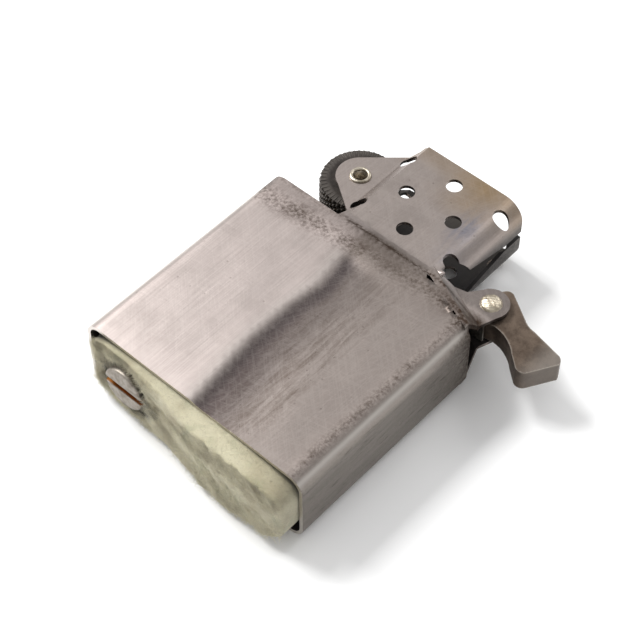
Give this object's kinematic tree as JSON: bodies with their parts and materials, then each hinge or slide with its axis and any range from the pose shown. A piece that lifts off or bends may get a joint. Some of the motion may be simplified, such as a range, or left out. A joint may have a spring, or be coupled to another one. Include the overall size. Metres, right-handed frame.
{
  "type": "lighter insert",
  "caption": "Windproof petrol lighter insert lying on its back: steel tank, perforated windscreen, striker wheel, swing-out lid lever, felt base and slotted screw.",
  "frame": {"origin": "centre of the tank's flat back face, on which the insert lies", "axes": "+Z out of the front face, +Y from the felt end to the windscreen, +X from the striker wheel's side to the lever's side"},
  "size_m": [0.0454, 0.054, 0.0118],
  "materials": {
    "tank_steel": "worn bright stainless sheet, brushed along the tank, dented, with dark grime at the shoulder and straw and blue heat tint on the windscreen",
    "deck_steel": "dull heat-stained steel",
    "wheel_steel": "dark blued steel with cut teeth",
    "rivet_steel": "bright worn rivet steel",
    "lever_steel": "brown-grey case-hardened steel with worn edges",
    "spring_steel": "grey spring steel",
    "brass": "tarnished brass",
    "screw_steel": "grey steel worn to brass colour in the slot",
    "flint_metal": "dark grey sintered metal",
    "wick_cotton": "woven cotton and glass cord, charred at its tip",
    "copper": "dull copper strands",
    "felt": "cream felt mottled green and brown",
    "cotton": "white cotton wool"
  },
  "bodies": {
    "tank": {"tank_shell": "tank_steel", "top_deck": "deck_steel", "wheel_rivet": "rivet_steel", "cam_rivet": "rivet_steel", "cam_spring": "spring_steel", "cam_spring_rivet": "rivet_steel", "flint_tube": "brass", "wick": "wick_cotton", "wick_wire": "copper", "felt_pad": "felt", "cotton_ball_1": "cotton", "cotton_ball_2": "cotton", "cotton_ball_3": "cotton", "cotton_ball_4": "cotton", "cotton_ball_5": "cotton"},
    "wheel": {"striker_wheel": "wheel_steel"},
    "lever": {"cam_lever": "lever_steel"},
    "flint_carrier": {"flint": "flint_metal", "spring_tip": "brass"},
    "feed": {"flint_spring": "spring_steel"},
    "screw": {"flint_screw": "screw_steel"},
    "flap": {"felt_flap": "felt"}
  },
  "joints": [
    {"name": "wheel_spin", "type": "hinge", "parent": "tank", "child": "wheel", "pos_m": [-0.0104, 0.0255, 0.0059], "axis": [0, 0, 1], "continuous": true},
    {"name": "lever_swing", "type": "hinge", "parent": "tank", "child": "lever", "pos_m": [0.0156, 0.02085, 0.0059], "axis": [0, 0, 1], "range_deg": [0, 95]},
    {"name": "flint_push", "type": "slide", "parent": "tank", "child": "flint_carrier", "axis": [0, -1, 0], "range_m": [0, 0.001], "stiffness_N_per_m": 60, "deforming": ["flint_spring"]},
    {"name": "screw_feed", "type": "slide", "parent": "tank", "child": "feed", "axis": [0, -1, 0], "range_m": [0, 0.0056]},
    {"name": "screw_turn", "type": "hinge", "parent": "feed", "child": "screw", "pos_m": [-0.0104, -0.0168, 0.0059], "axis": [0, -1, 0], "range_deg": [0, 2880]},
    {"name": "felt_lift", "type": "hinge", "parent": "tank", "child": "flap", "pos_m": [-0.0054, -0.0198, 0.0059], "axis": [0, 0, -1], "range_deg": [0, 35]}
  ],
  "couplings": [
    {"joint": "screw_turn", "follows": "screw_feed", "rad_per_m": 8976}
  ]
}
